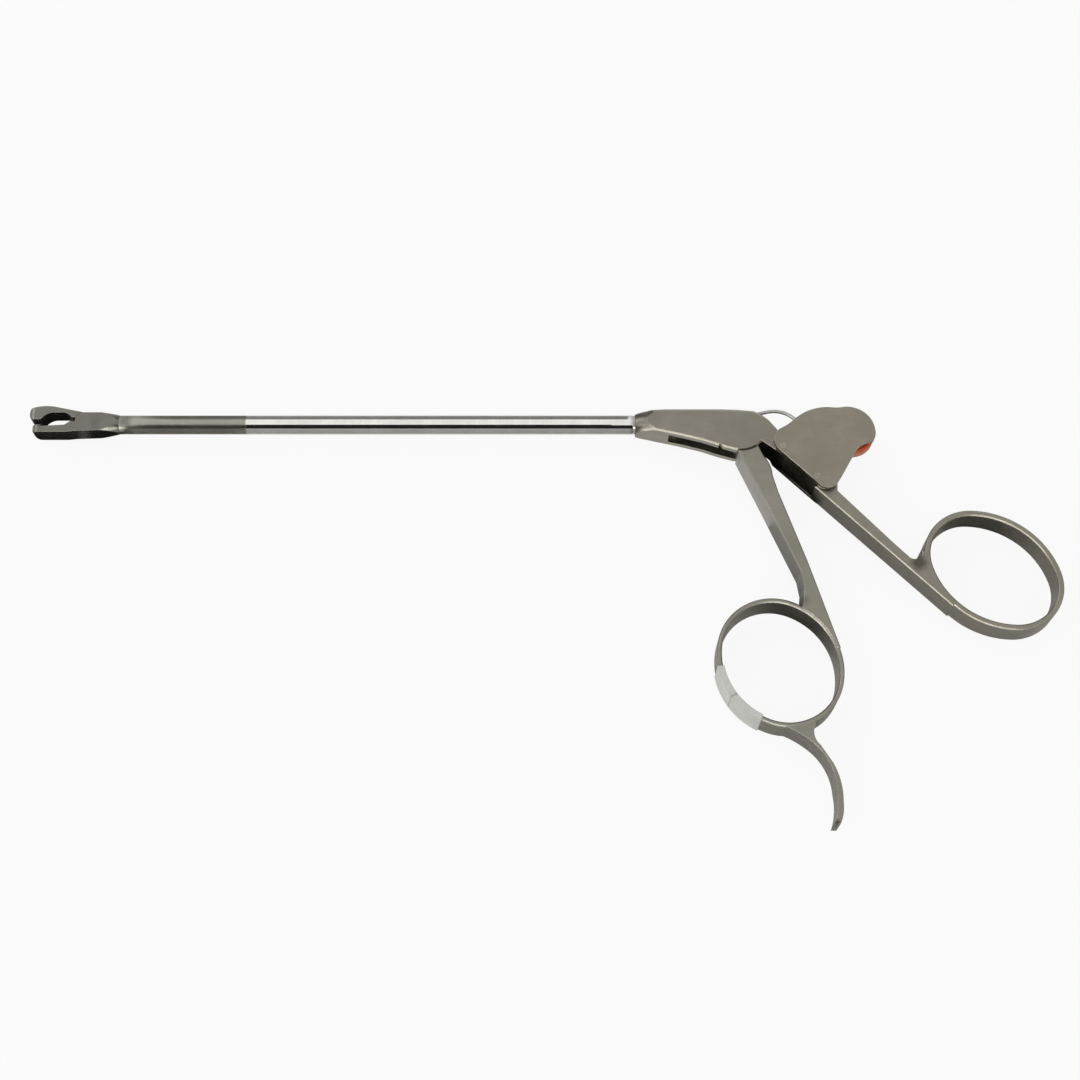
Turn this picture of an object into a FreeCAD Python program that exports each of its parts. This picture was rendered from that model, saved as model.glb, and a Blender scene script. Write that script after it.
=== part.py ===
import FreeCAD, Part
import math
import os
import Sketcher

V = FreeCAD.Vector

os.makedirs("parts", exist_ok=True)
doc = FreeCAD.newDocument("punch")

# Every driving size of the punch, in millimetres and degrees.
# Drawing frame of the instrument: x runs along the shaft towards the handles with 0 at the
# front of the housing, y is up across the shaft with 0 on its axis, z is 0 on the mid-plane.
SIZES = {
    # shaft
    "shaft_od": 4.0,
    "shaft_id": 3.3,
    "matte_length": 27.0,
    "polished_length": 83.0,
    "socket_depth": 6.0,
    # head and jaws
    "head_wide": 4.2,
    "head_up": 2.0,
    "head_down": 2.3,
    "pin_skin": 0.4,
    "jaw_length": 8.9,
    "jaw_pivot_back": 7.0,
    "jaw_pivot_drop": 0.2,
    "jaw_pin_dia": 1.0,
    "jaw_shoulder": 2.35,
    "jaw_arch_height": 2.0,
    "tang_thick": 1.15,
    "drive_pin_dia": 0.8,
    "drive_pin_lift": 0.3,
    "needle_od": 0.9,
    "suture_bore": 0.5,
    # drive rod and guide tube
    "rod_dia": 1.4,
    "rod_lift": 0.65,
    "blade_thick": 0.6,
    "guide_od": 0.8,
    "guide_drop": 1.2,
    # frame
    "housing_wide": 6.4,
    "housing_up": 2.55,
    "housing_bevel": 0.8,
    "nose_drop": 0.2,
    "edge_bevel": 0.4,
    "slot_wide": 3.5,
    "disc_radius": 6.2,
    "handle_wide": 7.4,
    "lever_x": 22.0,
    "lever_drop": 1.1,
    "lever_pin_dia": 2.0,
    "tongue_thick": 1.4,
    "link_wide": 3.1,
    "crank_pin_dia": 1.1,
    "shoulder_gap": 0.25,
    # rings
    "finger_long": 12.95,
    "finger_short": 11.4,
    "finger_band": 1.0,
    "finger_turn": 119.0,
    "finger_x": 28.12,
    "finger_y": -54.3,
    "finger_wide": 7.0,
    "thumb_long": 13.85,
    "thumb_short": 10.55,
    "thumb_band": 1.25,
    "thumb_turn": -38.0,
    "thumb_x": 73.0,
    "thumb_y": -34.3,
    "thumb_wide": 6.4,
    "shank_bevel": 0.25,
    "ring_bevel": 0.3,
    "spur_wide": 6.2,
    "tape_thick": 0.18,
    # casing
    "plate_thick": 1.0,
    "rivet_dia": 1.1,
    "wheel_x": 46.0,
    "wheel_y": -2.2,
    "wheel_radius": 4.9,
    "wheel_wide": 3.0,
    "boss_wall": 0.55,
    "tyre_bevel": 0.35,
    "tyre_thick": 1.2,
    "axle_dia": 1.5,
    "roller_radius": 1.9,
    "nip_gap": 0.1,
    "nip_angle": 220.0,
    "mouth_x": 38.0,
    "mouth_y": -1.7,
    # clearances
    "run_gap": 0.05,
    "side_gap": 0.1,
    # where the resting face is centred
    "rest_x": 39.0,
    "rest_y": -6.0,
}

sheet = doc.addObject("Spreadsheet::Sheet", "Sizes")
for row, key in enumerate(SIZES, start=1):
    sheet.set("A%d" % row, key)
    sheet.set("B%d" % row, str(SIZES[key]))
    sheet.setAlias("B%d" % row, key)
doc.recompute()


def s(key):
    """One size from the sheet."""
    return float(sheet.get(key))


def bind(obj, prop, formula):
    """Bind a property to a formula written with the sheet's aliases."""
    words = []
    for word in formula.split(" "):
        words.append("Sizes." + word if word in SIZES else word)
    obj.setExpression(prop, " ".join(words))


# Places that several pieces share.
HEAD_END = -(s("matte_length") + s("polished_length"))
JAW_PIVOT = V(HEAD_END - s("jaw_pivot_back"), -s("jaw_pivot_drop"), 0)
LEVER_PIVOT = V(s("lever_x"), -s("lever_drop"), 0)
DRIVE_PIN = V(JAW_PIVOT.x, s("rod_lift") + s("drive_pin_lift"), 0)
CRANK_PIN = V(s("lever_x"), s("rod_lift"), 0)
WHEEL = V(s("wheel_x"), s("wheel_y"), 0)
FINGER = V(s("finger_x"), s("finger_y"), 0)
THUMB = V(s("thumb_x"), s("thumb_y"), 0)
MOUTH = V(s("mouth_x"), s("mouth_y"), 0)
REST_Z = s("handle_wide") / 2 + s("plate_thick")


def nip_side(distance):
    """A point on the line from the wheel's centre through the nip."""
    turn = math.radians(s("nip_angle"))
    return V(WHEEL.x + distance * math.cos(turn), WHEEL.y + distance * math.sin(turn), 0)


ROLLER = nip_side(s("wheel_radius") + s("nip_gap") + s("roller_radius"))


def place(obj, label, at):
    """Give a finished sub-part its name and its place in the part's own frame."""
    obj.Label = label
    obj.Placement = FreeCAD.Placement(V(at.x - s("rest_x"), at.y - s("rest_y"), at.z + REST_Z), FreeCAD.Rotation())
    NODES.append(obj)


NODES = []
NOWHERE = V(0, 0, 0)


def near(anchor, *steps):
    """Outline steps that are given from an anchor. A step is a point, or a pair for an arc."""
    moved = []
    for step in steps:
        if isinstance(step[0], tuple):
            moved.append(tuple((anchor.x + x, anchor.y + y) for x, y in step))
        else:
            moved.append((anchor.x + step[0], anchor.y + step[1]))
    return moved


def outline(name, at, steps):
    """A closed sketch on the mid-plane. A step is a point, or a pair (through, end) for an arc."""
    sketch = doc.addObject("Sketcher::SketchObject", name)
    last = V(steps[0][0], steps[0][1], 0) - at
    first = last
    for step in steps[1:]:
        if isinstance(step[0], tuple):
            through = V(step[0][0], step[0][1], 0) - at
            end = V(step[1][0], step[1][1], 0) - at
            sketch.addGeometry(Part.Arc(last, through, end), False)
        else:
            end = V(step[0], step[1], 0) - at
            sketch.addGeometry(Part.LineSegment(last, end), False)
        last = end
    if last.distanceToPoint(first) > 1e-6:
        sketch.addGeometry(Part.LineSegment(last, first), False)
    return sketch


def slab(name, profile, width):
    """Extrude a flat profile evenly to both sides of the mid-plane."""
    solid = doc.addObject("Part::Extrusion", name)
    solid.Base = profile
    solid.DirMode = "Custom"
    solid.Dir = V(0, 0, 1)
    solid.Solid = True
    solid.Symmetric = True
    bind(solid, "LengthFwd", width)
    return solid


def shifted_slab(name, profile, width, base):
    """Extrude a flat profile upwards from a height that is given by a formula."""
    bind(profile, "Placement.Base.z", base)
    solid = doc.addObject("Part::Extrusion", name)
    solid.Base = profile
    solid.DirMode = "Custom"
    solid.Dir = V(0, 0, 1)
    solid.Solid = True
    bind(solid, "LengthFwd", width)
    return solid


def oval_steps(centre, turn, long_radius, short_radius, grow):
    """Outline steps of a four-arc oval, with every arc grown outwards by the same amount."""
    tight = 0.35 * short_radius + 0.65 * short_radius ** 2 / long_radius
    flat = ((long_radius - tight) ** 2 + short_radius ** 2 - tight ** 2) / (2 * (short_radius - tight))
    lean = math.degrees(math.atan2(flat - short_radius, long_radius - tight))
    ends = V(long_radius - tight, 0, 0)
    sides = V(0, short_radius - flat, 0)
    arcs = [
        (sides, flat + grow, lean, 180 - lean),
        (-ends, tight + grow, 180 - lean, 180 + lean),
        (-sides, flat + grow, 180 + lean, 360 - lean),
        (ends, tight + grow, -lean, lean),
    ]
    spin = FreeCAD.Rotation(V(0, 0, 1), turn)

    def spot(hub, radius, angle):
        angle = math.radians(angle)
        point = centre + spin.multVec(hub + V(radius * math.cos(angle), radius * math.sin(angle), 0))
        return (point.x, point.y)

    steps = [spot(ends, tight + grow, lean)]
    for hub, radius, start, stop in arcs:
        steps.append((spot(hub, radius, (start + stop) / 2), spot(hub, radius, stop)))
    return steps


def oval(name, centre, kind, grow, width):
    """An upright solid with the oval outline of one of the handle rings."""
    steps = oval_steps(centre, s(kind + "_turn"), s(kind + "_long"), s(kind + "_short"), grow)
    return slab(name, outline(name + "_line", NOWHERE, steps), width)


def round_bar(name, centre, radius, length):
    """An upright round bar, centred on the mid-plane."""
    bar = doc.addObject("Part::Cylinder", name)
    bar.Placement.Base = V(centre.x, centre.y, centre.z)
    bind(bar, "Radius", radius)
    bind(bar, "Height", length)
    bind(bar, "Placement.Base.z", "-1 * ( " + length + " ) / 2")
    return bar


def bar_along(name, start, radius, length):
    """A round bar along the shaft from a start point towards the handles."""
    bar = doc.addObject("Part::Cylinder", name)
    bar.Placement = FreeCAD.Placement(start, FreeCAD.Rotation(V(0, 1, 0), 90))
    bind(bar, "Radius", radius)
    bind(bar, "Height", length)
    return bar


def box(name, low, high):
    """A plain block between two corners."""
    block = doc.addObject("Part::Box", name)
    block.Length = high.x - low.x
    block.Width = high.y - low.y
    block.Height = high.z - low.z
    block.Placement.Base = low
    return block


def fuse(name, pieces):
    joined = doc.addObject("Part::MultiFuse", name)
    joined.Shapes = pieces
    joined.Refine = True
    return joined


def cut(name, base, tool):
    result = doc.addObject("Part::Cut", name)
    result.Base = base
    result.Tool = tool
    return result


def common(name, base, tool):
    result = doc.addObject("Part::Common", name)
    result.Base = base
    result.Tool = tool
    return result


def flat_edges(solid, height):
    """Numbers of the edges that lie flat at a height above or below the mid-plane."""
    found = []
    for number, edge in enumerate(solid.Shape.Edges, start=1):
        heights = [vertex.Z for vertex in edge.Vertexes]
        if max(heights) - min(heights) < 1e-6 and abs(abs(heights[0]) - height) < 1e-6:
            found.append(number)
    return found


def soften(name, kind, solid, numbers, size):
    """Round or bevel the numbered edges."""
    doc.recompute()
    result = doc.addObject(kind, name)
    result.Base = solid
    result.Edges = [(number, size, size) for number in numbers]
    return result


def filleted_path(points, bend):
    """Straight runs joined by tangent arcs."""
    edges = []
    last = points[0]
    for before, here, after in zip(points, points[1:], points[2:]):
        run_in = (here - before).normalize()
        run_out = (after - here).normalize()
        half = run_in.getAngle(run_out) / 2
        reach = min((here - before).Length, (after - here).Length) * bend
        start = here - run_in * reach
        end = here + run_out * reach
        middle = here + (run_out - run_in).normalize() * arc_rise(reach, half)
        edges.append(Part.LineSegment(last, start).toShape())
        edges.append(Part.Arc(start, middle, end).toShape())
        last = end
    edges.append(Part.LineSegment(last, points[-1]).toShape())
    return Part.Wire(edges)


def arc_rise(reach, half):
    """How far inside its corner a tangent arc passes, for a given tangent length and half turn."""
    radius = reach / math.tan(half)
    return radius / math.cos(half) - radius


def tube_along(path, outer, inner):
    """A round tube swept along a path of runs and arcs."""
    start = path.Edges[0].Vertexes[0].Point
    toward = path.Edges[0].tangentAt(path.Edges[0].FirstParameter)
    skin = Part.Wire([Part.Circle(start, toward, outer).toShape()])
    core = Part.Wire([Part.Circle(start, toward, inner).toShape()])
    solid = path.makePipeShell([skin], True, False)
    hollow = path.makePipeShell([core], True, False)
    return solid.cut(hollow)


def shaft_piece(label, start, length):
    """A length of the shaft's outer tube."""
    body = doc.addObject("PartDesign::Body", label + "_body")
    sketch = body.newObject("Sketcher::SketchObject", label + "_section")
    plane = [item for item in body.Origin.OriginFeatures if item.Role == "YZ_Plane"][0]
    sketch.AttachmentSupport = [(plane, "")]
    sketch.MapMode = "FlatFace"
    for circle, size in enumerate(("shaft_od", "shaft_id")):
        sketch.addGeometry(Part.Circle(V(0, 0, 0), V(0, 0, 1), s(size) / 2), False)
        sketch.addConstraint(Sketcher.Constraint("Coincident", circle, 3, -1, 1))
        index = sketch.addConstraint(Sketcher.Constraint("Diameter", circle, s(size)))
        bind(sketch, "Constraints[%d]" % index, size)
    pad = body.newObject("PartDesign::Pad", label + "_pad")
    pad.Profile = sketch
    bind(pad, "Length", length)
    body.Tip = pad
    place(body, label, V(start, 0, 0))


def pin_piece(label, centre, diameter, length, low):
    """A plain upright pin whose lower end is at a height given by a formula."""
    pin = doc.addObject("Part::Cylinder", label + "_pin")
    bind(pin, "Radius", diameter + " / 2")
    bind(pin, "Height", length)
    place(pin, label, V(centre.x, centre.y, low))


def head_outline():
    """Side view of the fixed jaw and the head behind it."""
    x, y = JAW_PIVOT.x, JAW_PIVOT.y
    reach = s("jaw_shoulder")
    nose = x - s("jaw_length") - 2.6
    down = -s("head_down")
    up = s("head_up")
    lean = math.sqrt(reach ** 2 - (up - y) ** 2)
    return [
        (nose, down + 0.5),
        ((nose + 0.35, down - 0.05), (nose + 1.2, down - 0.25)),
        (x - 4.2, down - 0.25),
        (x - 2.6, down - 0.05),
        (HEAD_END, down + 0.3),
        (HEAD_END, up),
        (x - lean, up),
        ((x - reach * math.cos(0.62), y + reach * math.sin(0.62)), (x - reach, y)),
        (x - reach - 1.1, y + 0.1),
        (x - 4.5, -0.9),
        (x - 9.7, -1.2),
        (x - 10.3, -0.85),
        (nose + 0.1, -0.85),
    ]


def build_head():
    """Fixed lower jaw, the two cheeks and the square head that tapers into the tube."""
    profile = outline("head_side", NOWHERE, head_outline())
    blank = slab("head_blank", profile, "head_wide")
    lathe = doc.addObject("Part::Cone", "head_taper")
    lathe.Placement = FreeCAD.Placement(V(HEAD_END - 4.8, 0, 0), FreeCAD.Rotation(V(0, 1, 0), 90))
    lathe.Height = 4.8
    bind(lathe, "Radius1", "head_wide / 2 + 1.05")
    bind(lathe, "Radius2", "shaft_od / 2")
    rest = box("head_front", V(HEAD_END - 30, -10, -10), V(HEAD_END - 4.8, 10, 10))
    turned = common("head_turned", blank, fuse("head_envelope", [lathe, rest]))
    plan = outline("head_plan", NOWHERE, plan_outline(JAW_PIVOT.x - s("jaw_length") - 2.6, HEAD_END))
    plan.Placement = FreeCAD.Placement(V(0, 10, 0), FreeCAD.Rotation(V(1, 0, 0), 90))
    nose = doc.addObject("Part::Extrusion", "head_nose")
    nose.Base = plan
    nose.DirMode = "Custom"
    nose.Dir = V(0, -1, 0)
    nose.LengthFwd = 20
    nose.Solid = True
    shaped = common("head_shaped", turned, nose)
    slot = box("head_slot", V(JAW_PIVOT.x - 2.5, -1.12, -1.25), V(HEAD_END - 2.6, 5, 1.25))
    bore = bar_along("head_bore", V(HEAD_END - 2.7, 0, 0), "shaft_id / 2", "2.8")
    pivot = round_bar("head_pivot", JAW_PIVOT, "jaw_pin_dia / 2", "head_wide - pin_skin")
    pivot.setExpression("Placement.Base.z", None)
    pivot.Placement.Base.z = -s("head_wide") / 2
    channel = suture_channel()
    needle_seat = needle_bar("needle_seat", "needle_od / 2")
    head = cut("head_cut", shaped, fuse("head_hollow", [slot, bore, pivot, channel, needle_seat]))
    place(head, "jaw_head", NOWHERE)


def plan_outline(nose, back):
    """View from above: straight sides with a blunt rounded nose."""
    half = s("head_wide") / 2
    return [
        (nose + 1.3, -half),
        (back, -half),
        (back, half),
        (nose + 1.3, half),
        ((nose + 0.42, half * 0.8), (nose, half * 0.35)),
        (nose, -half * 0.35),
    ]


NEEDLE_FOOT = V(JAW_PIVOT.x - s("jaw_length") - 1.5, -2.0, 0)
NEEDLE_TIP = NEEDLE_FOOT + V(-0.5, 1.55, 0)


def needle_bar(name, radius):
    """A bar along the needle's own line."""
    along = NEEDLE_TIP - NEEDLE_FOOT
    bar = doc.addObject("Part::Cylinder", name)
    bar.Placement = FreeCAD.Placement(NEEDLE_FOOT, FreeCAD.Rotation(V(0, 0, 1), along))
    bind(bar, "Radius", radius)
    bar.Height = along.Length
    return bar


def suture_channel():
    """The slanted hole through the head that leads the suture to the needle."""
    start = V(HEAD_END - 2.4, -s("guide_drop") - 0.1, 0)
    along = NEEDLE_FOOT + V(0, 0.2, 0) - start
    bar = doc.addObject("Part::Cylinder", "head_channel")
    bar.Placement = FreeCAD.Placement(start, FreeCAD.Rotation(V(0, 0, 1), along))
    bind(bar, "Radius", "suture_bore / 2")
    bar.Height = along.Length
    return bar


def build_needle():
    """Short hollow needle at the tip of the fixed jaw, cut to a slant."""
    skin = needle_bar("needle_skin", "needle_od / 2")
    core = needle_bar("needle_core", "suture_bore / 2")
    place(cut("needle_cut", skin, core), "needle", NOWHERE)


def build_upper_jaw():
    """Moving jaw: arched beam with a nose tooth, a needle hole and a thin tang inside the head."""
    reach = s("jaw_shoulder") + s("side_gap")
    arch = s("jaw_arch_height") + s("jaw_pivot_drop")
    lift = 0.42 + s("jaw_pivot_drop")
    nose = V(-s("jaw_length") - 3.5, 0, 0)
    steps = near(nose, (0, 2.1), ((0.22, 2.85), (1.1, 3.3)))
    steps += [
        ((-8.6, 3.68), (-6.4, 3.45)),
        (-0.9, 2.27),
        ((-reach * math.cos(0.75), reach * math.sin(0.75)), (-reach * math.cos(0.44), reach * math.sin(0.44))),
        (-3.0, 1.06),
        (-3.7, 1.72),
        ((-4.3, arch - 0.1), (-5.0, arch)),
        (-7.2, arch),
    ]
    steps += near(nose, ((4.1, arch - 0.35), (3.4, 1.35)), (2.8, lift), (1.1, lift), (0.45, 1.0))
    blank = slab("upper_blank", outline("upper_side", NOWHERE, steps), "head_wide")
    half = s("head_wide") / 2
    plan = outline("upper_plan", NOWHERE, [
        (nose.x + 1.3, -half), (0, -half), (0, half), (nose.x + 1.3, half),
        ((nose.x + 0.42, half * 0.8), (nose.x, half * 0.35)), (nose.x, -half * 0.35),
    ])
    plan.Placement = FreeCAD.Placement(V(0, 10, 0), FreeCAD.Rotation(V(1, 0, 0), 90))
    blunt = doc.addObject("Part::Extrusion", "upper_nose")
    blunt.Base = plan
    blunt.DirMode = "Custom"
    blunt.Dir = V(0, -1, 0)
    blunt.LengthFwd = 20
    blunt.Solid = True
    beam = common("upper_beam", blank, blunt)
    eye = doc.addObject("Part::Cylinder", "upper_eye")
    eye.Placement = FreeCAD.Placement(V(nose.x + 1.65, -1, 0), FreeCAD.Rotation(V(1, 0, 0), -90))
    bind(eye, "Radius", "needle_od / 2 + 0.3")
    eye.Height = 6
    drilled = cut("upper_drilled", beam, eye)
    lift_pin = DRIVE_PIN.y - JAW_PIVOT.y
    tang_steps = [
        (-2.7, 1.35),
        (-0.85, 0.0),
        ((0, -0.85), (0.85, 0)),
        (0.85, lift_pin + 0.55),
        (-0.85, lift_pin + 0.55),
        (-2.0, 2.3),
    ]
    tang = shifted_slab("upper_tang", outline("tang_side", NOWHERE, tang_steps), "tang_thick", "0.05")
    pivot = round_bar("upper_pivot", V(0, 0, 0), "jaw_pin_dia / 2 + run_gap", "10")
    drive = slab("upper_drive", outline("drive_slot", NOWHERE, slot_steps(0, lift_pin, s("drive_pin_dia") / 2 + s("run_gap"), 2.0)), "10")
    jaw = cut("upper_cut", fuse("upper_whole", [drilled, tang]), fuse("upper_holes", [pivot, drive]))
    place(jaw, "upper_jaw", JAW_PIVOT)


def slot_steps(x, y, half, up):
    """An upright slot with a round lower end, open at the top."""
    return [
        (x - half, y),
        ((x, y - half), (x + half, y)),
        (x + half, y + up),
        (x - half, y + up),
    ]


def build_rod():
    """Push rod with a flat blade at each end, beside the jaw's tang and the lever's tongue."""
    front = box("rod_front", V(JAW_PIVOT.x - 0.75, 0.35, -1.15), V(JAW_PIVOT.x + 1.7, 1.6, -0.05))
    reach = "matte_length + polished_length + jaw_pivot_back + lever_x - 3.65"
    bar = bar_along("rod_bar", V(JAW_PIVOT.x + 1.5, 0, 0), "rod_dia / 2", reach)
    bind(bar, "Placement.Base.y", "rod_lift")
    back = box("rod_back", V(s("lever_x") - 2.6, s("rod_lift") - 0.6, -0.45), V(s("lever_x") + 0.95, s("rod_lift") + 0.8, 0.15))
    bind(back, "Height", "blade_thick")
    near = round_bar("rod_hole_front", DRIVE_PIN, "drive_pin_dia / 2", "10")
    far = round_bar("rod_hole_back", CRANK_PIN, "crank_pin_dia / 2", "10")
    rod = cut("rod_cut", fuse("rod_whole", [front, bar, back]), fuse("rod_holes", [near, far]))
    place(rod, "drive_rod", NOWHERE)


ARCH_TOP = MOUTH + V(-6.5, 5.65, -0.5)


def build_guide_tube():
    """Thin tube: along the shaft's floor, past the lever's tongue and in an arch into the casing."""
    drop = -s("guide_drop")
    aside = -(s("slot_wide") / 2 - s("guide_od") / 2 - 0.15)
    points = [
        V(HEAD_END - 2.5, drop, 0),
        V(8.0, drop, 0),
        V(17.6, drop + 1.1, aside),
        V(25.0, 2.75, -1.0),
        ARCH_TOP,
        MOUTH,
    ]
    path = filleted_path(points, 0.45)
    tube = doc.addObject("Part::Feature", "guide_tube_shape")
    tube.Shape = tube_along(path, s("guide_od") / 2, s("suture_bore") / 2)
    place(tube, "guide_tube", NOWHERE)


def housing_steps():
    """Side view of the housing and the neck behind it."""
    x, y = LEVER_PIVOT.x, LEVER_PIVOT.y
    r = s("disc_radius")
    up = s("housing_up")
    return [
        (0, -2.4),
        (0, up - 0.35),
        (2.4, up - 0.22),
        (6.4, up),
        (x - 4.0, up),
        (x - 0.3, up - 0.12),
        (x + 3.2, up - 0.45),
        (x + 5.0, up - 1.4),
        (x + 8.1, y - 1.7),
        (x + 9.5, y - 2.3),
        (x + 9.5, y - 7.9),
        (x + 7.3, y - 6.1),
        (x + r * math.cos(0.72), y - r * math.sin(0.72)),
        ((x + r * math.cos(1.2), y - r * math.sin(1.2)), (x - 1.4, y - math.sqrt(r ** 2 - 1.4 ** 2))),
        (x - 4.6, y - 5.1),
        (x - 8.0, y - 3.9),
        (9.0, -3.7),
        (3.6, -2.5),
    ]


def ring(kind, centre):
    """An oval handle ring with bevelled rims."""
    outer = oval(kind + "_rim", centre, kind, s(kind + "_band"), kind + "_wide")
    hole = oval(kind + "_hole", centre, kind, 0, "20")
    band = cut(kind + "_ring", outer, hole)
    doc.recompute()
    numbers = flat_edges(band, s(kind + "_wide") / 2)
    return soften(kind + "_bevelled", "Part::Chamfer", band, numbers, s("ring_bevel"))


def half_band(kind, centre):
    """Room inside a ring, up to the middle of its band, to trim what grows out of the ring."""
    return oval(kind + "_room", centre, kind, s(kind + "_band") / 2, "20")


def nose_envelope():
    """Turned envelope that rounds the front of the housing down to the tube."""
    start = s("shaft_od") / 2 + 0.4
    profile = outline("nose_line", NOWHERE, [
        (0, 0), (0, start), ((0.9, start + 0.34), (2.4, start + 0.75)), (4.0, start + 1.3), (45, start + 25), (45, 0),
    ])
    profile.Placement.Base = V(0, -s("nose_drop"), 0)
    turned = doc.addObject("Part::Revolution", "nose_turned")
    turned.Source = profile
    turned.Axis = V(1, 0, 0)
    turned.Base = V(0, -s("nose_drop"), 0)
    turned.Angle = 360
    turned.Solid = True
    return turned


def build_frame():
    """Housing, neck, casing core, rear shank and thumb ring in one casting."""
    doc.recompute()
    blank = slab("housing_blank", outline("housing_side", NOWHERE, housing_steps()), "housing_wide")
    doc.recompute()
    crowned = soften("housing_crowned", "Part::Chamfer", blank, housing_bevels(blank, True), s("housing_bevel"))
    doc.recompute()
    bevelled = soften("housing_bevelled", "Part::Chamfer", crowned, housing_bevels(crowned, False), s("edge_bevel"))
    housing = common("housing_nosed", bevelled, nose_envelope())
    core_steps = [
        (30.1, -2.8), (33.2, -1.0), ((37.0, 1.3), (41.2, 1.75)), (42.6, 1.75), (43.9, -10.3),
        (40.9, -15.8), ((39.6, -16.3), (38.1, -15.8)), (29.5, -7.4), (28.6, -5.6),
    ]
    core = slab("casing_core", outline("casing_side", NOWHERE, core_steps), "handle_wide")
    shank_steps = [(38.3, -15.0), (42.0, -14.5), (41.9, -16.6)]
    shank_steps += near(
        THUMB, (-19.9, 5.6), (-17.4, 3.05), ((-15.85, 2.42), (-14.7, 4.3)), (-9.0, 3.0), (-5.0, -6.0), (-9.2, -8.0),
    )
    shank_steps += [(37.0, -15.7)]
    blank = slab("rear_blank", outline("rear_side", NOWHERE, shank_steps), "thumb_wide")
    doc.recompute()
    numbers = flat_edges(blank, s("thumb_wide") / 2)
    blade = soften("rear_blade", "Part::Chamfer", blank, numbers, s("shank_bevel"))
    shank = cut("rear_shank", blade, half_band("thumb", THUMB))
    whole = fuse("frame_whole", [housing, core, shank, ring("thumb", THUMB)])
    place(cut("frame_cut", whole, frame_hollow()), "frame", NOWHERE)


def housing_bevels(solid, upper):
    """The wide bevel runs along the top of the housing and the narrow one along its underside."""
    found = []
    for number in flat_edges(solid, s("housing_wide") / 2):
        edge = solid.Shape.Edges[number - 1]
        middle = edge.valueAt((edge.FirstParameter + edge.LastParameter) / 2)
        if middle.x > 26.5 or middle.x < 0:
            continue
        if upper == (middle.y > 0):
            found.append(number)
    return found


def frame_hollow():
    """Everything that is milled or drilled out of the casting."""
    half = s("slot_wide") / 2
    socket = bar_along("frame_socket", V(-1, 0, 0), "shaft_od / 2", "socket_depth + 1")
    throat = bar_along("frame_throat", V(s("socket_depth") - 0.1, 0, 0), "slot_wide / 2", "4")
    lower = box("frame_slot", V(7.0, -12, -half), V(25.4, 1.6, half))
    upper = box("frame_slot_top", V(15.5, 0, -half), V(27.4, 5, half))
    pin = round_bar("frame_pivot", LEVER_PIVOT, "lever_pin_dia / 2", "housing_wide - pin_skin")
    pin.setExpression("Placement.Base.z", None)
    pin.Placement.Base.z = -s("housing_wide") / 2
    lip = bar_along("frame_lip", V(-1, 0, 0), "shaft_od / 2 + 0.15", "1.6")
    wheel_room = round_bar("frame_wheel_room", WHEEL, "wheel_radius + 0.35", "20")
    roller_room = round_bar("frame_roller_room", ROLLER, "roller_radius + 0.35", "20")
    lane_steps = near(MOUTH, (-0.7, 1.5), (-1.7, -0.2))
    lane_steps += near(WHEEL, (-6.0, -3.2), (-3.7, -3.2), (-3.7, -6.0), (0.3, -8.9), (1.3, -4.4))
    lane_steps += near(MOUTH, (2.6, 1.5))
    lane_room = slab("frame_lane", outline("frame_lane_side", NOWHERE, lane_steps), "wheel_wide + 0.4")
    mouth = doc.addObject("Part::Cylinder", "frame_mouth")
    mouth.Placement = FreeCAD.Placement(ARCH_TOP, FreeCAD.Rotation(V(0, 0, 1), MOUTH - ARCH_TOP))
    bind(mouth, "Radius", "guide_od / 2")
    mouth.Height = (MOUTH - ARCH_TOP).Length + 1
    notch = outline("frame_notch_side", NOWHERE, near(LEVER_PIVOT, (-4.95, -5.6), (-4.25, -4.55), (-3.3, -5.9)))
    nick = shifted_slab("frame_notch", notch, "4", "slot_wide / 2 - 0.1")
    tools = [socket, lip, throat, lower, upper, pin, wheel_room, roller_room, lane_room, mouth, nick]
    tools += rivet_bars("frame_rivets", "rivet_dia / 2", "20")
    return fuse("frame_tools", tools)


RIVETS = [V(30.78, -7.0, 0), V(37.6, -13.9, 0)]


def rivet_bars(name, radius, length):
    return [round_bar("%s_%d" % (name, number), at, radius, length) for number, at in enumerate(RIVETS)]


def plate_steps():
    """Heart-shaped outline of the casing plates."""
    return [
        (28.9, -5.9),
        ((29.2, -4.5), (30.2, -3.55)),
        (33.3, -1.0),
        ((36.9, 1.3), (41.1, 1.97)),
        ((42.6, 1.86), (44.2, 2.05)),
        ((48.8, 0.3), (50.4, -3.4)),
        ((50.35, -4.7), (49.8, -5.9)),
        ((47.3, -6.7), (45.7, -8.7)),
        (42.9, -13.6),
        (41.5, -15.8),
        ((39.9, -16.6), (38.2, -16.0)),
        (29.5, -7.4),
    ]


def wheel_window():
    """Room beside the wheel that is left open in the rear plate."""
    steps = near(WHEEL, (-7.5, -14.8), (-2.8, -8.7), (1.0, -2.2), (4.6, 0.6), (7.0, 0.6), (7.0, -14.8))
    return slab("wheel_window", outline("window_side", NOWHERE, steps), "20")


def build_plate(label, side):
    """One riveted casing plate, with blind seats for the two axles on its inner face."""
    middle = "handle_wide / 2"
    profile = outline(label + "_line", NOWHERE, plate_steps())
    if side > 0:
        blank = shifted_slab(label + "_blank", profile, "plate_thick", middle)
    else:
        blank = shifted_slab(label + "_blank", profile, "plate_thick", "-1 * ( " + middle + " + plate_thick )")
    seats = [
        round_bar(label + "_axle", WHEEL, "axle_dia / 2", "handle_wide + 1.2"),
        round_bar(label + "_roller", ROLLER, "axle_dia / 2", "handle_wide + 1.2"),
    ]
    seats += rivet_bars(label + "_rivets", "rivet_dia / 2", "20")
    if side < 0:
        seats.append(wheel_window())
    place(cut(label + "_cut", blank, fuse(label + "_seats", seats)), label, NOWHERE)


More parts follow.
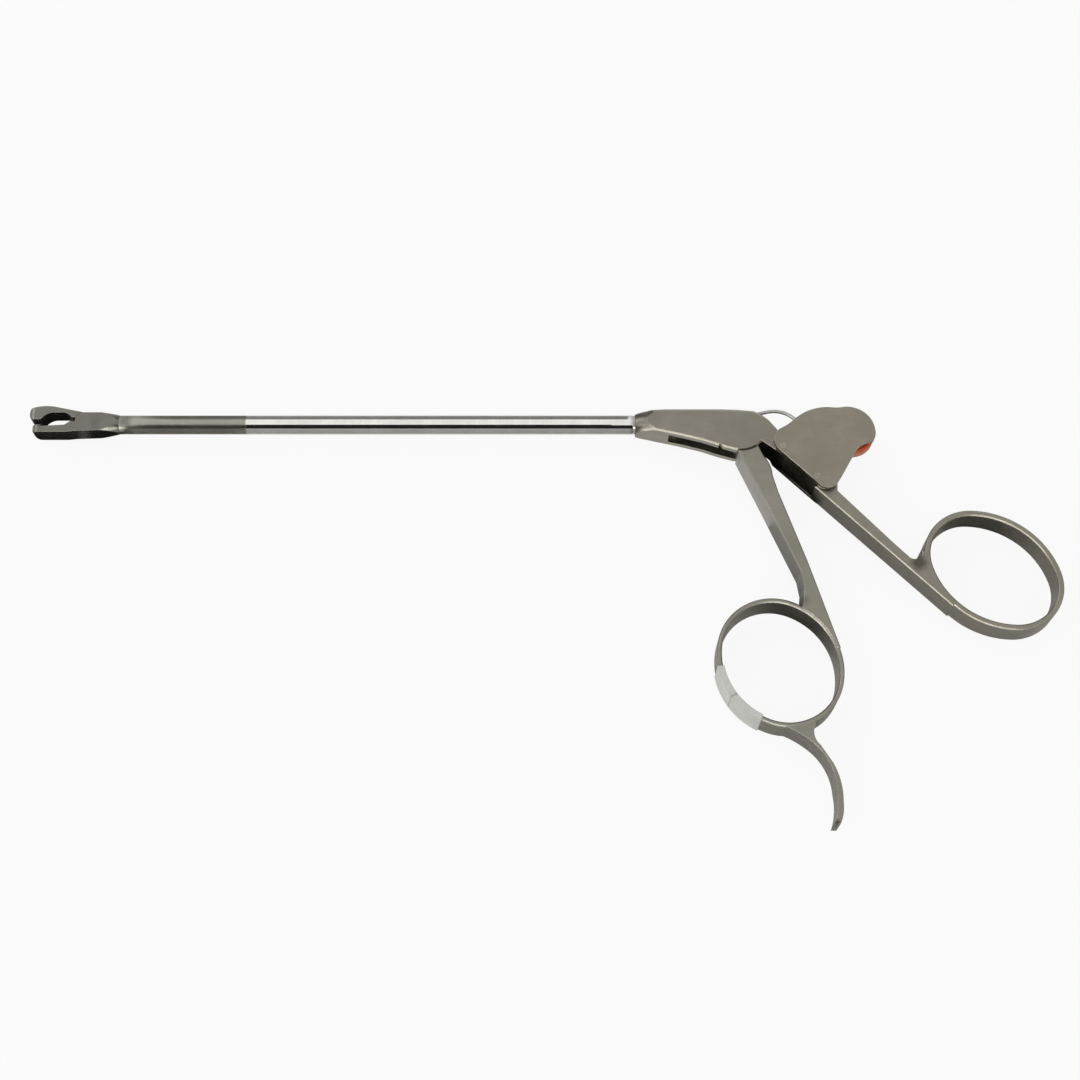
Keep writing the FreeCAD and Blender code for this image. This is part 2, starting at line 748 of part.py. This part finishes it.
def build_rivets():
    """The two rivets that hold both plates to the casing core."""
    bars = rivet_bars("rivet", "rivet_dia / 2", "handle_wide + 2 * plate_thick")
    group = doc.addObject("Part::Compound", "rivet_pair")
    group.Links = bars
    place(group, "casing_rivets", NOWHERE)


def spool(label, centre, radius):
    """A wheel with a boss on each side that reaches across to the plates, bored for its axle."""
    disc = round_bar(label + "_disc", NOWHERE, radius, "wheel_wide")
    boss = round_bar(label + "_boss", NOWHERE, "axle_dia / 2 + boss_wall", "handle_wide - 2 * side_gap")
    bore = round_bar(label + "_bore", NOWHERE, "axle_dia / 2 + run_gap", "20")
    place(cut(label + "_cut", fuse(label + "_whole", [disc, boss]), bore), label, centre)


def build_feed():
    """Thumb wheel with its tyre, the pinch roller and their two axles."""
    spool("feed_wheel_hub", WHEEL, "wheel_radius - tyre_thick")
    tyre = round_bar("tyre_skin", NOWHERE, "wheel_radius", "wheel_wide")
    doc.recompute()
    numbers = flat_edges(tyre, s("wheel_wide") / 2)
    bevelled = soften("tyre_bevelled", "Part::Chamfer", tyre, numbers, s("tyre_bevel"))
    core = round_bar("tyre_core", NOWHERE, "wheel_radius - tyre_thick", "20")
    place(cut("tyre_cut", bevelled, core), "feed_wheel_tyre", WHEEL)
    spool("pinch_roller", ROLLER, "roller_radius")
    for label, at in (("feed_wheel_axle", WHEEL), ("pinch_roller_axle", ROLLER)):
        length = s("handle_wide") + 1.2
        pin_piece(label, at, "axle_dia", "handle_wide + 1.2", -length / 2)


def spur_steps():
    """Outline of the curved finger rest that runs off the bottom of the finger ring."""
    return near(
        FINGER,
        (-4.8, -11.5),
        (-1.1, -12.9),
        ((3.3, -15.0), (6.3, -17.4)),
        ((8.9, -21.4), (9.8, -25.8)),
        ((9.9, -29.3), (9.0, -33.1)),
        ((9.35, -33.65), (9.9, -33.5)),
        ((10.75, -31.3), (10.95, -28.8)),
        ((10.75, -25.0), (9.45, -21.0)),
        (7.05, -17.2),
        ((5.95, -15.1), (6.4, -13.0)),
        (5.5, -10.5),
        (-3.5, -10.5),
    )


def spur_taper(at):
    """Wedge that thins the finger rest from the width of its ring to a narrower tip."""
    root = s("finger_wide") / 2 - 0.05
    tip = s("spur_wide") / 2
    sides = near(FINGER - at, (0, 0))
    y = sides[0][1]
    steps = [(y, -root), (y - 13.0, -root), (y - 33.0, -tip), (y - 33.0, tip), (y - 13.0, root), (y, root)]
    profile = outline("spur_depth", NOWHERE, steps)
    profile.Placement = FreeCAD.Placement(V(-80, 0, 0), FreeCAD.Rotation(V(1, 1, 1), 120))
    wedge = doc.addObject("Part::Extrusion", "spur_wedge")
    wedge.Base = profile
    wedge.DirMode = "Custom"
    wedge.Dir = V(1, 0, 0)
    wedge.LengthFwd = 200
    wedge.Solid = True
    return wedge


def build_lever():
    """Front handle: tongue in the housing, shank, finger ring and spur in one casting."""
    at = LEVER_PIVOT
    x, y = at.x, at.y
    r = s("disc_radius") + s("shoulder_gap")
    start, stop = math.radians(265), math.radians(305)
    middle = (start + stop) / 2
    shank_steps = [
        (x + r * math.cos(start), y + r * math.sin(start)),
        ((x + r * math.cos(middle), y + r * math.sin(middle)), (x + r * math.cos(stop), y + r * math.sin(stop))),
        (26.9, -9.0),
        ((27.9, -10.7), (28.4, -13.2)),
        (29.4, -17.0),
        (34.7, -32.6),
    ]
    shank_steps += near(FINGER, (12.25, 3.0), (8.0, 2.0), (3.0, 7.5), (4.9, 11.0))
    shank_steps += [
        (33.6, -38.0),
        (33.1, -34.8),
        (25.45, -16.8),
        (22.5, -10.0),
    ]
    shank = slab("lever_shank", outline("lever_side", at, shank_steps), "handle_wide")
    doc.recompute()
    edges = flat_edges(shank, s("handle_wide") / 2)
    eased = soften("lever_eased", "Part::Chamfer", shank, edges, 0.25)
    link = slab("lever_link", outline("link_side", at, [
        (x - 1.7, y - 2.6), (x + 1.9, y - 2.6), (x + 2.4, y - 7.5), (x - 0.3, y - 7.5),
    ]), "link_wide")
    top = CRANK_PIN.y - at.y
    tongue = shifted_slab("lever_tongue", outline("tongue_side", NOWHERE, [
        (-1.9, -3.2),
        (-1.9, 0.0),
        (-1.15, top + 0.9),
        (1.15, top + 0.9),
        (1.9, 0.0),
        (1.9, -3.2),
    ]), "tongue_thick", "blade_thick - 0.35")
    rim = ring("finger", FINGER - at)
    spur = common("lever_spur", slab("spur_blank", outline("spur_side", at, spur_steps()), "finger_wide"), spur_taper(at))
    solid = cut("lever_open", fuse("lever_solid", [eased, link, tongue, spur]), half_band("finger", FINGER - at))
    smooth = fuse("lever_whole", [solid, rim])
    pivot = round_bar("lever_bore", NOWHERE, "lever_pin_dia / 2 + run_gap", "20")
    half = s("crank_pin_dia") / 2 + s("run_gap")
    notch = slab("lever_notch", outline("notch_side", NOWHERE, slot_steps(0, top, half, 2.0)), "20")
    place(cut("lever_cut", smooth, fuse("lever_holes", [pivot, notch])), "lever", at)


def build_tape():
    """Tape wrapped round the band of the finger ring, on its lower left."""
    at = LEVER_PIVOT
    wrap = s("tape_thick")
    skin = oval("tape_skin", FINGER - at, "finger", s("finger_band") + wrap, "finger_wide + 2 * tape_thick")
    mouth = oval("tape_mouth", FINGER - at, "finger", -wrap, "20")
    band = oval("tape_band", FINGER - at, "finger", s("finger_band"), "finger_wide")
    gap = oval("tape_gap", FINGER - at, "finger", 0, "20")
    shell = cut("tape_shell", cut("tape_open", skin, mouth), cut("tape_ring", band, gap))
    sides = near(FINGER, (0, 0), (-16.1, -1.2), (-16.1, -17.8), (-6.5, -17.8))
    sector = slab("tape_sector", outline("tape_part", at, sides), "12")
    place(common("tape_cut", shell, sector), "id_tape", at)


build_head()
build_needle()
build_upper_jaw()
shaft_piece("distal_tube", HEAD_END, "matte_length")
shaft_piece("shaft_tube", -s("polished_length"), "polished_length + socket_depth")
build_rod()
build_guide_tube()
build_frame()
build_plate("casing_plate_front", 1)
build_plate("casing_plate_rear", -1)
build_rivets()
build_feed()
build_lever()
build_tape()
pin_piece("jaw_pivot_pin", JAW_PIVOT, "jaw_pin_dia", "head_wide - pin_skin", -s("head_wide") / 2)
pin_piece("jaw_drive_pin", DRIVE_PIN, "drive_pin_dia", "tang_thick + 1.2", -1.15)
pin_piece("crank_pin", CRANK_PIN, "crank_pin_dia", "tongue_thick + blade_thick + 0.1", -0.45)
pin_piece("lever_pivot_pin", LEVER_PIVOT, "lever_pin_dia", "housing_wide - pin_skin", -s("housing_wide") / 2)

doc.recompute()

for item in doc.Objects:
    if "Invalid" in item.State or "Error" in item.State:
        raise RuntimeError("failed object " + item.Name)

for node in NODES:
    if node.Shape.isNull() or not node.Shape.isValid():
        raise RuntimeError("bad shape " + node.Label)
    print("%-20s solids %d volume %.3f" % (node.Label, len(node.Shape.Solids), node.Shape.Volume))
    node.Shape.exportStep("parts/" + node.Label + ".step")
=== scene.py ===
import math

import bpy
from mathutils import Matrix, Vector

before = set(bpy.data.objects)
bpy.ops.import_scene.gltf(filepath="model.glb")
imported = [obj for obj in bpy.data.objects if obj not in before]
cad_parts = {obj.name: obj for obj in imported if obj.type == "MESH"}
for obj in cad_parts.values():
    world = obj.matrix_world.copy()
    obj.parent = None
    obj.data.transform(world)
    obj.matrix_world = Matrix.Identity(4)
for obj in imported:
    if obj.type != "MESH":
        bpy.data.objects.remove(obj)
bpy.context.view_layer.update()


# Small helpers for node trees.

def new_look(name):
    """A new material, its node tree and its shader."""
    look = bpy.data.materials.new(name)
    look.use_nodes = True
    return look, look.node_tree, look.node_tree.nodes["Principled BSDF"]


def add(tree, kind, **settings):
    """A new node with its plain settings, such as operation or blend_type."""
    node = tree.nodes.new(kind)
    for key, value in settings.items():
        setattr(node, key, value)
    return node


def feed(tree, target, value):
    """Link a socket to an input, or set the input's own value."""
    if isinstance(value, bpy.types.NodeSocket):
        tree.links.new(value, target)
    else:
        target.default_value = value


def math_node(tree, operation, first, second=0.0, clamp=False):
    """Arithmetic on two values; with clamp the result stays within 0 and 1."""
    node = add(tree, "ShaderNodeMath", operation=operation, use_clamp=clamp)
    feed(tree, node.inputs[0], first)
    feed(tree, node.inputs[1], second)
    return node.outputs[0]


def times(tree, first, second):
    return math_node(tree, "MULTIPLY", first, second)


def vector_node(tree, operation, first, second):
    """Arithmetic on two vectors; the node itself, because its outputs differ."""
    node = add(tree, "ShaderNodeVectorMath", operation=operation)
    feed(tree, node.inputs[0], first)
    feed(tree, node.inputs[1], second)
    return node


def stretch(tree, value, low, high, new_low, new_high):
    """Move a value from one range to another and stop at its ends."""
    node = add(tree, "ShaderNodeMapRange")
    for socket, amount in zip(node.inputs, (value, low, high, new_low, new_high)):
        feed(tree, socket, amount)
    return node.outputs[0]


def blend_colour(tree, factor, first, second):
    """The first colour where the factor is 0 and the second where it is 1."""
    node = add(tree, "ShaderNodeMix", data_type="RGBA", blend_type="MIX")
    feed(tree, node.inputs["Factor"], factor)
    feed(tree, node.inputs[6], first)
    feed(tree, node.inputs[7], second)
    return node.outputs[2]


def own_place(tree):
    """The place on the piece in its own metres, so that it moves with the piece."""
    return add(tree, "ShaderNodeTexCoord").outputs["Object"]


def noise(tree, scale, detail=3.0, turn=(0, 0, 0), roughness=0.55):
    """A cloudy value from 0 to 1, with so many waves to the metre along each axis."""
    mapping = add(tree, "ShaderNodeMapping")
    mapping.inputs["Rotation"].default_value = [math.radians(angle) for angle in turn]
    mapping.inputs["Scale"].default_value = scale
    tree.links.new(own_place(tree), mapping.inputs["Vector"])
    node = add(tree, "ShaderNodeTexNoise")
    node.inputs["Scale"].default_value = 1.0
    node.inputs["Detail"].default_value = detail
    node.inputs["Roughness"].default_value = roughness
    tree.links.new(mapping.outputs["Vector"], node.inputs["Vector"])
    return node.outputs[0]


def even(scale):
    """The same number of waves along all three axes."""
    return (scale, scale, scale)


def edge_mask(tree, radius):
    """A rounded normal, and a value that is 0 on open faces and 1 along the edges."""
    rounded = add(tree, "ShaderNodeBevel", samples=8)
    rounded.inputs["Radius"].default_value = radius
    plain = add(tree, "ShaderNodeNewGeometry")
    dot = vector_node(tree, "DOT_PRODUCT", rounded.outputs[0], plain.outputs["Normal"])
    return rounded.outputs[0], stretch(tree, dot.outputs["Value"], 1.0, 0.8, 0.0, 1.0)


def bump(tree, height, depth, strength, normal):
    """A normal that follows a height from 0 to 1, whose full depth is in metres."""
    node = add(tree, "ShaderNodeBump")
    node.inputs["Distance"].default_value = depth
    node.inputs["Strength"].default_value = strength
    tree.links.new(height, node.inputs["Height"])
    tree.links.new(normal, node.inputs["Normal"])
    return node.outputs[0]


def tint(colour, red, green, blue):
    """A colour with its channels multiplied, none above white."""
    shares = (red, green, blue)
    return tuple(min(1, value * share) for value, share in zip(colour, shares)) + (1,)


def painted_shade_place(tree, node, centre, radii):
    """1 in the middle of a ragged egg-shaped place of painted shade on a CAD node, 0 outside.

    Its centre and radii are in the part's metres."""
    at_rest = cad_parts[node].matrix_world.inverted()
    away = vector_node(tree, "SUBTRACT", own_place(tree), at_rest @ Vector(centre))
    shares = vector_node(tree, "DIVIDE", away.outputs[0], radii)
    far = add(tree, "ShaderNodeVectorMath", operation="LENGTH")
    tree.links.new(shares.outputs[0], far.inputs[0])
    ragged = stretch(tree, noise(tree, even(900), 3.0), 0, 1, -0.25, 0.25)
    reach = math_node(tree, "ADD", far.outputs["Value"], ragged)
    return stretch(tree, reach, 0.35, 1.0, 1.0, 0.0)


# Finishes. Colours are linear, lengths are in metres.

def steel(name, colour, rough, grain, depth, edge=0.00018, worn=1.6, smear=0.06,
          turn=(0, 0, 0), dull=()):
    """Steel with a directional grain, hand smears in its gloss, brighter worn edges and
    painted shade in given places.

    The grain has waves to the metre along each axis, and its depth and the edge's
    radius are lengths. Worn is how many times brighter an edge is, smear how far the
    roughness wanders. Each dull place is painted shade: a node, a centre, three radii
    and how far it darkens."""
    look, tree, shader = new_look(name)
    shader.inputs["Metallic"].default_value = 1.0
    rounded, edges = edge_mask(tree, edge)
    clouds = noise(tree, even(75), 4.0)
    fine = noise(tree, grain, 4.0, turn, 0.6)
    specks = noise(tree, even(2600), 2.0)
    patchy = stretch(tree, noise(tree, even(260), 3.0), 0.3, 0.6, 0.25, 0.9)
    worn_edges = times(tree, edges, patchy)

    dark = tint(colour, 0.86, 0.86, 0.85)
    light = tint(colour, 1.12, 1.12, 1.13)
    base = blend_colour(tree, stretch(tree, clouds, 0.3, 0.7, 0.0, 1.0), dark, light)
    scratches = times(tree, stretch(tree, fine, 0.35, 0.65, 0.0, 1.0), 0.35)
    base = blend_colour(tree, scratches, base, dark)
    mottle = stretch(tree, noise(tree, even(430), 3.0), 0.4, 0.65, 0.0, 0.45)
    base = blend_colour(tree, mottle, base, dark)
    base = blend_colour(tree, worn_edges, base, tint(colour, worn, worn, worn))
    # Painted shade: each dull place darkens the colour towards near black.
    for node, centre, radii, deep in dull:
        place = times(tree, painted_shade_place(tree, node, centre, radii), deep)
        base = blend_colour(tree, place, base, tint(colour, 0.12, 0.12, 0.11))
    tree.links.new(base, shader.inputs["Base Color"])

    gloss = stretch(tree, noise(tree, even(110), 5.0), 0.3, 0.7, rough - smear, rough + smear)
    gloss = math_node(tree, "ADD", gloss, stretch(tree, fine, 0.3, 0.7, -0.04, 0.05))
    gloss = math_node(tree, "SUBTRACT", gloss, times(tree, worn_edges, rough * 0.35), True)
    tree.links.new(gloss, shader.inputs["Roughness"])
    height = math_node(tree, "ADD", fine, times(tree, specks, 0.5))
    tree.links.new(bump(tree, height, depth, 0.6, rounded), shader.inputs["Normal"])
    return look


TAPE_END = (-0.01088, -0.0483, 0.004)    # where the last turn is cut
TAPE_RUN = (0.581, -0.814, 0)            # the way that the turns go there


def lap_distance(tree):
    """How far, in metres, a place on the tape lies from the cut end of its last turn."""
    at_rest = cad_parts["id_tape"].matrix_world.inverted()
    away = vector_node(tree, "SUBTRACT", own_place(tree), at_rest @ Vector(TAPE_END))
    run = at_rest.to_3x3() @ Vector(TAPE_RUN)
    along = vector_node(tree, "DOT_PRODUCT", away.outputs[0], run)
    wave = stretch(tree, noise(tree, even(500), 2.0), 0.0, 1.0, -0.0004, 0.0004)
    return math_node(tree, "ADD", along.outputs["Value"], wave)


def tape():
    """White vinyl tape: soft creases along its turns, a grubby edge and the cut end."""
    look, tree, shader = new_look("white_tape_look")
    rounded, edges = edge_mask(tree, 0.00025)
    creases = noise(tree, (120, 420, 90), 3.0, (0, 0, 35))
    grime = noise(tree, even(240), 5.0)
    white = (0.71, 0.71, 0.66, 1)
    dull = (0.61, 0.61, 0.56, 1)
    grey = (0.36, 0.36, 0.33, 1)
    base = blend_colour(tree, stretch(tree, grime, 0.4, 0.75, 0.0, 1.0), white, dull)
    base = blend_colour(tree, times(tree, edges, 0.4), base, grey)
    apart = lap_distance(tree)
    line = stretch(tree, math_node(tree, "ABSOLUTE", apart), 0.0, 0.0003, 1.0, 0.0)
    base = blend_colour(tree, times(tree, line, 0.75), base, grey)
    tree.links.new(base, shader.inputs["Base Color"])
    gloss = stretch(tree, grime, 0.3, 0.7, 0.42, 0.6)
    tree.links.new(gloss, shader.inputs["Roughness"])
    lap = stretch(tree, apart, -0.00015, 0.00015, 1.0, 0.0)
    height = math_node(tree, "ADD", creases, times(tree, lap, 1.5))
    tree.links.new(bump(tree, height, 0.00012, 0.5, rounded), shader.inputs["Normal"])
    shader.inputs["Specular IOR Level"].default_value = 0.45
    return look


def rubber(name, colour, deep, rough):
    """Moulded rubber or plastic with a fine mould grain and a little dust."""
    look, tree, shader = new_look(name)
    rounded, edges = edge_mask(tree, 0.0002)
    grain = noise(tree, even(3000), 2.0)
    dust = noise(tree, even(320), 5.0)
    base = blend_colour(tree, stretch(tree, dust, 0.35, 0.7, 0.0, 1.0), colour, deep)
    pale = tuple(min(1, value * 1.35 + 0.02) for value in colour[:3]) + (1,)
    base = blend_colour(tree, times(tree, edges, 0.5), base, pale)
    tree.links.new(base, shader.inputs["Base Color"])
    gloss = stretch(tree, dust, 0.3, 0.7, rough - 0.08, rough + 0.1)
    tree.links.new(gloss, shader.inputs["Roughness"])
    tree.links.new(bump(tree, grain, 0.00003, 0.5, rounded), shader.inputs["Normal"])
    shader.inputs["Subsurface Weight"].default_value = 0.08
    shader.inputs["Subsurface Radius"].default_value = (0.0008, 0.0004, 0.0002)
    return look


def dress(material, *nodes):
    """Give CAD nodes a finish."""
    for node in nodes:
        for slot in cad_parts[node].material_slots:
            slot.material = material


HANDLE_GRAIN = (420, 1500, 1500)
PLATE_GRAIN = (380, 2300, 2300)
TUBE_GRAIN = (2600, 180, 180)
JAW_GRAIN = (700, 2200, 2200)

# Dull places of painted shade: the shade in the ring crooks, the shadow where the shaft tube meets
# the housing, the shade where the distal tube meets the jaw head, and dark reflections on the spur
# tip and the jaw head's cheek. Each is a node, a centre, three radii and how far it darkens.
THUMB_CROOK_SHADE = ("frame", (0.0186, -0.0268, 0.008), (0.0023, 0.0023, 0.003), 0.7)
FINGER_CROOK_SHADE = ("lever", (-0.0065, -0.0352, 0.006), (0.0030, 0.0016, 0.006), 0.6)
SPUR_TIP_SHADE = ("lever", (-0.0016, -0.0812, 0.006), (0.0013, 0.0010, 0.006), 0.85)
TUBE_ROOT_SHADOW = ("shaft_tube", (-0.0388, 0.006, 0.0047), (0.0016, 0.006, 0.006), 0.8)
HEAD_JOINT_SHADE = ("distal_tube", (-0.1478, 0.006, 0.0047), (0.0022, 0.006, 0.006), 0.5)
CHEEK_SHADE = ("jaw_head", (-0.1540, 0.0058, 0.007), (0.0016, 0.0020, 0.002), 0.22)

handle_steel = steel("handle_steel", (0.232, 0.215, 0.176), 0.34, HANDLE_GRAIN, 0.00001,
                     edge=0.00025, turn=(0, 0, 60), dull=[THUMB_CROOK_SHADE])
front_handle_steel = steel("front_handle_steel", (0.244, 0.230, 0.194), 0.34, HANDLE_GRAIN,
                           0.00001, edge=0.0002, turn=(0, 0, -65), dull=[FINGER_CROOK_SHADE, SPUR_TIP_SHADE])
plate_steel = steel("plate_steel", (0.242, 0.223, 0.178), 0.38, PLATE_GRAIN, 0.000012,
                    turn=(0, 0, 20), smear=0.04)
polished = steel("polished_steel", (0.82, 0.80, 0.76), 0.065, TUBE_GRAIN, 0.000002,
                 worn=1.2, smear=0.02, dull=[TUBE_ROOT_SHADOW])
bent_tube = steel("bent_tube_steel", (0.40, 0.395, 0.375), 0.22, even(900), 0.000004,
                  worn=1.2, smear=0.04)
blasted = steel("blasted_steel", (0.345, 0.333, 0.285), 0.32, even(2200), 0.000004,
                worn=1.9, smear=0.04, dull=[HEAD_JOINT_SHADE])
jaw_steel = steel("jaw_steel", (0.172, 0.164, 0.142), 0.30, JAW_GRAIN, 0.00001,
                  worn=1.7, smear=0.05, dull=[CHEEK_SHADE])
upper_jaw_steel = steel("upper_jaw_steel", (0.176, 0.168, 0.148), 0.30, JAW_GRAIN, 0.00001,
                        worn=1.7, smear=0.05)
pin_steel = steel("pin_steel", (0.27, 0.255, 0.215), 0.30, even(1500), 0.000008)
orange = rubber("orange_silicone_look", (0.72, 0.135, 0.018, 1), (0.55, 0.075, 0.010, 1), 0.42)
core = rubber("wheel_core_look", (0.16, 0.155, 0.15, 1), (0.11, 0.11, 0.105, 1), 0.4)

dress(handle_steel, "frame")
dress(front_handle_steel, "lever")
dress(plate_steel, "casing_plate_front", "casing_plate_rear")
dress(polished, "shaft_tube", "needle")
dress(bent_tube, "guide_tube")
dress(blasted, "distal_tube")
dress(jaw_steel, "jaw_head")
dress(upper_jaw_steel, "upper_jaw")
dress(pin_steel, "casing_rivets", "jaw_pivot_pin", "jaw_drive_pin", "crank_pin", "lever_pivot_pin")
dress(pin_steel, "feed_wheel_axle", "pinch_roller_axle", "drive_rod")
dress(orange, "feed_wheel_tyre")
dress(core, "feed_wheel_hub", "pinch_roller")
dress(tape(), "id_tape")


# Floor, light and camera.

def stand(name, data, place, ahead):
    """A new object in its place, with its own z axis along a direction."""
    piece = bpy.data.objects.new(name, data)
    bpy.context.scene.collection.objects.link(piece)
    piece.location = place
    piece.rotation_mode = "QUATERNION"
    piece.rotation_quaternion = Vector(ahead).to_track_quat("Z", "Y")
    return piece


def panel(name, centre, ahead, wide, high):
    """A flat rectangle whose face looks along a direction."""
    x, y = wide / 2, high / 2
    mesh = bpy.data.meshes.new(name)
    mesh.from_pydata([(-x, -y, 0), (x, -y, 0), (x, y, 0), (-x, y, 0)], [], [(0, 1, 2, 3)])
    return stand(name, mesh, centre, ahead)


def shown_ray(tree):
    """1 for rays from the camera, from gloss and through glass."""
    path = add(tree, "ShaderNodeLightPath")
    seen = math_node(tree, "MAXIMUM", path.outputs["Is Camera Ray"], path.outputs["Is Glossy Ray"])
    return math_node(tree, "MAXIMUM", seen, path.outputs["Is Transmission Ray"])


UP = (0, 0, 1)
FLOOR_LEVEL = -0.00005
FLOOR_GLOW = 0.9      # the share of the floor's own white in what the camera sees of it

floor = panel("floor", (0, 0, FLOOR_LEVEL), UP, 6, 6)
floor_look, tree, paint = new_look("floor_look")
paint.inputs["Base Color"].default_value = (0.86, 0.86, 0.86, 1)
paint.inputs["Roughness"].default_value = 0.9
paint.inputs["Specular IOR Level"].default_value = 0.1
glow = add(tree, "ShaderNodeEmission")
glow.inputs["Strength"].default_value = 1.0
layer = add(tree, "ShaderNodeMixShader")
tree.links.new(times(tree, shown_ray(tree), FLOOR_GLOW), layer.inputs[0])
tree.links.new(paint.outputs[0], layer.inputs[1])
tree.links.new(glow.outputs[0], layer.inputs[2])
tree.links.new(layer.outputs[0], tree.nodes["Material Output"].inputs["Surface"])
floor.data.materials.append(floor_look)

# The white room lights the object less than it shows in the picture and in gloss.
ROOM_LIGHT, ROOM_SHOWN = 0.62, 1.0

world = bpy.data.worlds.new("studio")
bpy.context.scene.world = world
world.use_nodes = True
tree = world.node_tree
air = tree.nodes["Background"]
feed(tree, air.inputs["Strength"], stretch(tree, shown_ray(tree), 0.0, 1.0, ROOM_LIGHT, ROOM_SHOWN))
air.inputs["Color"].default_value = (1, 1, 1, 1)


def softbox(name, place, size, radiance):
    """A square soft light that faces the middle of the object."""
    lamp = bpy.data.lights.new(name, "AREA")
    lamp.shape = "SQUARE"
    lamp.size = size
    lamp.energy = radiance * math.pi * size * size
    stand(name, lamp, place, place)


softbox("key", (-0.95, 0.75, 0.80), 0.60, 2.2)
softbox("low_left", (-0.92, -0.62, 0.50), 0.50, 1.8)


def gloss_only(piece, look):
    """A studio card that shows in gloss alone, as a photographer sets beside shiny things."""
    piece.data.materials.append(look)
    piece.visible_camera = False
    piece.visible_shadow = False
    piece.visible_diffuse = False


def card(name, centre, ahead, wide, high, shade, spots=()):
    """A matt card; seen in gloss alone, it puts a painted reflection on the shiny walls and tubes
    that mirror it. Each dark spot on it is a painted dark reflection: a place, an inner and an
    outer radius, and a depth.
    """
    look, tree, paint = new_look(name + "_look")
    paint.inputs["Roughness"].default_value = 0.9
    colour = (shade, shade, shade, 1)
    for x, y, inner, outer, depth in spots:
        here = add(tree, "ShaderNodeNewGeometry")
        apart = vector_node(tree, "DISTANCE", here.outputs["Position"], (x, y, 0))
        dark = stretch(tree, apart.outputs["Value"], inner, outer, depth, 0.0)
        colour = blend_colour(tree, dark, colour, (0.006, 0.006, 0.006, 1))
    feed(tree, paint.inputs["Base Color"], colour)
    gloss_only(panel(name, centre, ahead, wide, high), look)


def bright_card(name, centre, wide, high, radiance):
    """A white card far off that glows by itself and shows in gloss alone; it faces the object and
    puts painted highlights on its bevels.
    """
    look, tree, paint = new_look(name + "_look")
    look.cycles.emission_sampling = "NONE"
    paint.inputs["Base Color"].default_value = (0, 0, 0, 1)
    paint.inputs["Emission Color"].default_value = (1, 1, 1, 1)
    paint.inputs["Emission Strength"].default_value = radiance
    gloss_only(panel(name, centre, -Vector(centre), wide, high), look)


BACK, FRONT = (0, 1, 0), (0, -1, 0)
BESIDE = 0.0015             # y of the cards that stand close in front of the tube
MIDDLE, LONG = -0.0939, 0.1092        # of the cards along the whole tube
LEVEL, LOW_LEVEL = -0.00002, -0.00003    # of the cards that lie on the floor
BLACK, NEAR_BLACK, NEAR_WHITE = 0.005, 0.006, 0.92
# Dark spots of painted reflection under the jaws and for the tops of the rings' inner walls.
JAW_SPOTS = [(-0.1655, 0.002, 0.0062, 0.0075, 1.0), (-0.1523, 0.0005, 0.0040, 0.0054, 1.0)]
RING_TOPS = [(-0.007, -0.039, 0.003, 0.010, 0.8), (0.033, -0.0185, 0.003, 0.011, 0.75)]

# These cards show in gloss alone: their black, grey and near-white faces are painted reflections on
# the tubes, the jaws and the walls.
card("shaft_black", (-0.09615, BESIDE, 0.01155), BACK, 0.1047, 0.0089, BLACK)
card("shaft_black_end", (-0.04155, BESIDE, 0.01015), BACK, 0.0045, 0.0061, BLACK)
card("shaft_grey", (MIDDLE, BESIDE, 0.00355), BACK, LONG, 0.0071, 0.75)
card("shaft_back", (MIDDLE, 0.030, 0.0145), FRONT, LONG, 0.029, 0.36)
card("shaft_floor", (MIDDLE, 0.016, LEVEL), UP, LONG, 0.028, 0.60)
card("tip_floor", (-0.161, 0.004, LOW_LEVEL), UP, 0.024, 0.024, 0.42, JAW_SPOTS)
card("neck_floor", (-0.0120, -0.00100, LEVEL), UP, 0.007, 0.0080, NEAR_BLACK)
card("casing_floor", (-0.00635, -0.00475, LEVEL), UP, 0.0097, 0.0155, NEAR_BLACK)
card("rear_floor", (0.054, -0.0555, LOW_LEVEL), UP, 0.116, 0.103, NEAR_WHITE, RING_TOPS)
card("front_floor", (-0.016, -0.0615, LOW_LEVEL), UP, 0.024, 0.091, NEAR_WHITE, RING_TOPS)
bright_card("front_bright", (-0.15, -1.05, 0.55), 1.0, 0.45, 4.5)
bright_card("left_bright", (-0.90, -0.64, 0.48), 0.6, 0.45, 4.5)
bright_card("high_left_bright", (-0.74, -0.49, 1.03), 0.4, 0.4, 3.5)

camera_data = bpy.data.cameras.new("camera")
camera_data.sensor_width = 36
camera_data.lens = 61.67
camera_data.clip_start = 0.01
camera_data.clip_end = 20
camera = bpy.data.objects.new("camera", camera_data)
bpy.context.scene.collection.objects.link(camera)
camera.location = (-0.059318, -0.165028, 0.362350)
camera.rotation_euler = (math.radians(22), 0, 0)
bpy.context.scene.camera = camera

bpy.context.scene.view_settings.view_transform = "Standard"
